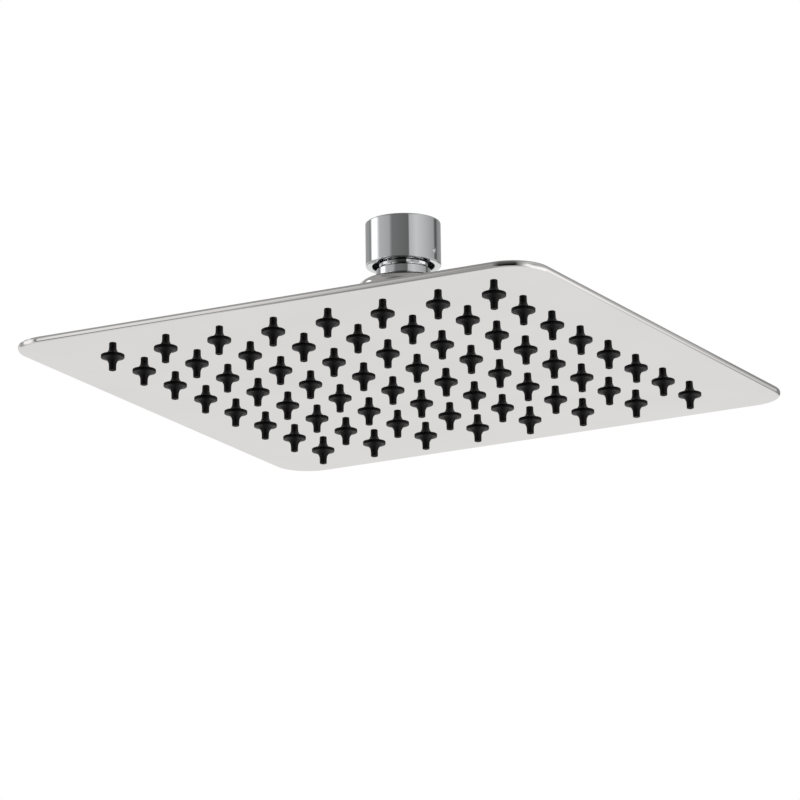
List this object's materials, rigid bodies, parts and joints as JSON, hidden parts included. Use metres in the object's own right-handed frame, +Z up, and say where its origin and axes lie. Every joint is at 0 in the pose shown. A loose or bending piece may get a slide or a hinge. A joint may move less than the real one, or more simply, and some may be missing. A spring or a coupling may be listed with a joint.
{
  "type": "rain shower head",
  "caption": "Slim square mirror-polished rain shower head with a grid of black silicone nozzles, a bell-shaped inlet and a chromed swivel nut for a half-inch shower arm.",
  "frame": {"origin": "centre of the inlet thread's mouth, at the top of the swivel nut", "axes": "+Z up along the inlet; X and Y along the edges of the plate"},
  "size_m": [0.2, 0.2, 0.0609],
  "materials": {
    "polished_stainless": "mirror-polished stainless steel",
    "chromed_brass": "bright chrome plate on brass",
    "bare_brass": "machined",
    "screen_steel": "perforated sheet",
    "seat_plastic": "moulded black",
    "seal_rubber": "matte",
    "nozzle_silicone": "soft matte silicone"
  },
  "bodies": {
    "connector": {"swivel_nut": "chromed_brass", "filter_washer": "seal_rubber", "filter_screen": "screen_steel", "ball_seal": "seal_rubber"},
    "ball_seat": {"ball_seat_ring": "seat_plastic"},
    "head": {"ball_stem": "chromed_brass", "stem_gasket": "seal_rubber", "stem_lock_nut": "bare_brass", "inlet_bell": "polished_stainless", "back_plate": "polished_stainless", "face_plate": "polished_stainless", "nozzle_row_1": "nozzle_silicone", "nozzle_row_2": "nozzle_silicone", "nozzle_row_3": "nozzle_silicone", "nozzle_row_4": "nozzle_silicone", "nozzle_row_5": "nozzle_silicone", "nozzle_row_6": "nozzle_silicone", "nozzle_row_7": "nozzle_silicone", "nozzle_row_8": "nozzle_silicone"}
  },
  "joints": [
    {"name": "swivel_turn", "type": "hinge", "parent": "connector", "child": "ball_seat", "pos_m": [0, 0, -0.0088], "axis": [0, 0, 1], "continuous": true},
    {"name": "head_tilt", "type": "hinge", "parent": "ball_seat", "child": "head", "pos_m": [0, 0, -0.0088], "axis": [1, 0, 0], "range_deg": [-8, 8]}
  ]
}
